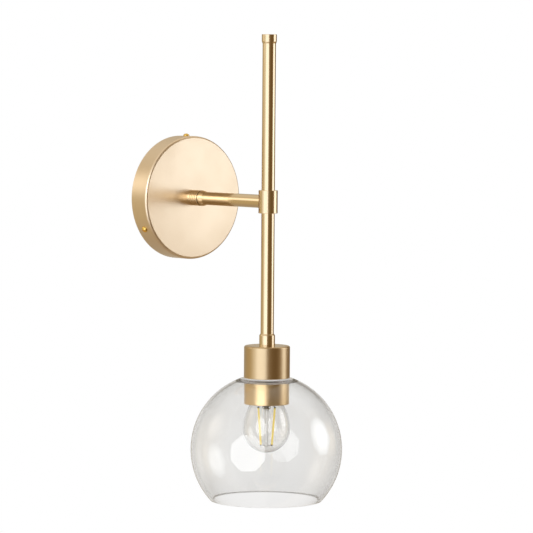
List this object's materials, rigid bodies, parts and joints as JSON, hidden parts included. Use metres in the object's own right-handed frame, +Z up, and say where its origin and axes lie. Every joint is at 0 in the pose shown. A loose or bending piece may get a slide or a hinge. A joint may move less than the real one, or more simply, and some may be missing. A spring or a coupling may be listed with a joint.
{
  "type": "wall sconce",
  "caption": "Brass wall sconce: round wall cover, level arm and tee, tall upright rod with a cap, and a cup and ring nut that hold a clear open-bottomed glass globe round a filament bulb.",
  "frame": {"origin": "centre of the wall plate's back, on the wall, midway between its two screw slots", "axes": "+Z up along the rod, +Y into the wall, -Y out into the room, +X to the right seen from the room"},
  "size_m": [0.1446, 0.2038, 0.4434],
  "materials": {
    "satin_brass": "satin, finely brushed, warm gold",
    "bright_brass": "polished, deeper yellow",
    "zinc_steel": "zinc plated",
    "white_ceramic": "glazed ceramic",
    "pale_plastic": "moulded nylon",
    "clear_glass": "clear, blown",
    "bulb_clear_glass": "clear, thin",
    "soft_silicone": "translucent silicone",
    "nickel_plate": "nickel plated",
    "filament_coating": "yellow phosphor coat",
    "brown_insulation": "smooth insulation",
    "blue_insulation": "smooth insulation",
    "green_insulation": "smooth insulation with a yellow stripe",
    "circuit_board": "printed circuit board",
    "dark_glass": "dark fused glass",
    "solder": "solder",
    "lead_wire": "drawn wire"
  },
  "bodies": {
    "fixture": {"wall_plate": "zinc_steel", "wall_cover": "satin_brass", "terminal_block": "pale_plastic", "terminal_block_inserts": "bright_brass", "terminal_block_screws": "zinc_steel", "earth_eyelet": "nickel_plate", "earth_screw": "zinc_steel", "cover_lock_washer": "zinc_steel", "cover_locknut": "zinc_steel", "cover_nipple": "zinc_steel", "arm_collar": "satin_brass", "arm_ferrule": "satin_brass", "arm_tube": "satin_brass", "arm_end_nipple": "zinc_steel", "tee": "satin_brass", "upper_nipple": "zinc_steel", "lower_nipple": "zinc_steel", "upper_tube": "satin_brass", "top_cap": "satin_brass", "lower_tube": "satin_brass", "stem_ferrule": "satin_brass", "stem_nipple": "zinc_steel", "socket_cup": "satin_brass", "cup_lock_washer": "zinc_steel", "cup_locknut": "zinc_steel", "lampholder_cap": "pale_plastic", "lampholder_skirt": "pale_plastic", "lampholder_core": "white_ceramic", "lampholder_screw_shell": "nickel_plate", "lampholder_contact_tongue": "nickel_plate", "lampholder_terminals": "bright_brass", "lampholder_terminal_screws": "zinc_steel", "live_wire": "brown_insulation", "neutral_wire": "blue_insulation", "earth_wire": "green_insulation"},
    "shade": {"glass_shade": "clear_glass", "upper_shade_washer": "soft_silicone", "lower_shade_washer": "soft_silicone"},
    "shade_ring": {"shade_ring": "satin_brass"},
    "bulb_contact": {"bulb_contact": "solder"},
    "bulb": {"bulb_insulator": "dark_glass", "bulb_base": "nickel_plate", "bulb_driver_board": "circuit_board", "bulb_glass": "bulb_clear_glass", "bulb_stem": "bulb_clear_glass", "bulb_filaments": "filament_coating", "bulb_filament_leads": "lead_wire"},
    "cover_screw_top": {"cover_screw_top": "bright_brass"},
    "cover_screw_left": {"cover_screw_left": "bright_brass"},
    "cover_screw_right": {"cover_screw_right": "bright_brass"}
  },
  "joints": [
    {"name": "shade_travel", "type": "slide", "parent": "fixture", "child": "shade", "axis": [0, 0, -1], "range_m": [0, 0.005]},
    {"name": "ring_turn", "type": "hinge", "parent": "shade", "child": "shade_ring", "pos_m": [0, -0.1315, -0.1833], "axis": [0, 0, -1], "range_deg": [0, 720]},
    {"name": "bulb_travel", "type": "slide", "parent": "fixture", "child": "bulb_contact", "axis": [0, 0, -1], "range_m": [0, 0.01089]},
    {"name": "bulb_turn", "type": "hinge", "parent": "bulb_contact", "child": "bulb", "pos_m": [0, -0.1315, -0.18], "axis": [0, 0, -1], "range_deg": [0, 1080]},
    {"name": "cover_screw_top_turn", "type": "hinge", "parent": "fixture", "child": "cover_screw_top", "pos_m": [0, -0.0105, 0.06015], "axis": [0, 0, 1], "continuous": true},
    {"name": "cover_screw_left_turn", "type": "hinge", "parent": "fixture", "child": "cover_screw_left", "pos_m": [-0.05209, -0.0105, -0.03008], "axis": [-0.866, 0, -0.5], "continuous": true},
    {"name": "cover_screw_right_turn", "type": "hinge", "parent": "fixture", "child": "cover_screw_right", "pos_m": [0.05209, -0.0105, -0.03008], "axis": [0.866, 0, -0.5], "continuous": true}
  ],
  "couplings": [
    {"joint": "ring_turn", "follows": "shade_travel", "rad_per_m": 2513.3},
    {"joint": "bulb_turn", "follows": "bulb_travel", "rad_per_m": 1730.9}
  ]
}
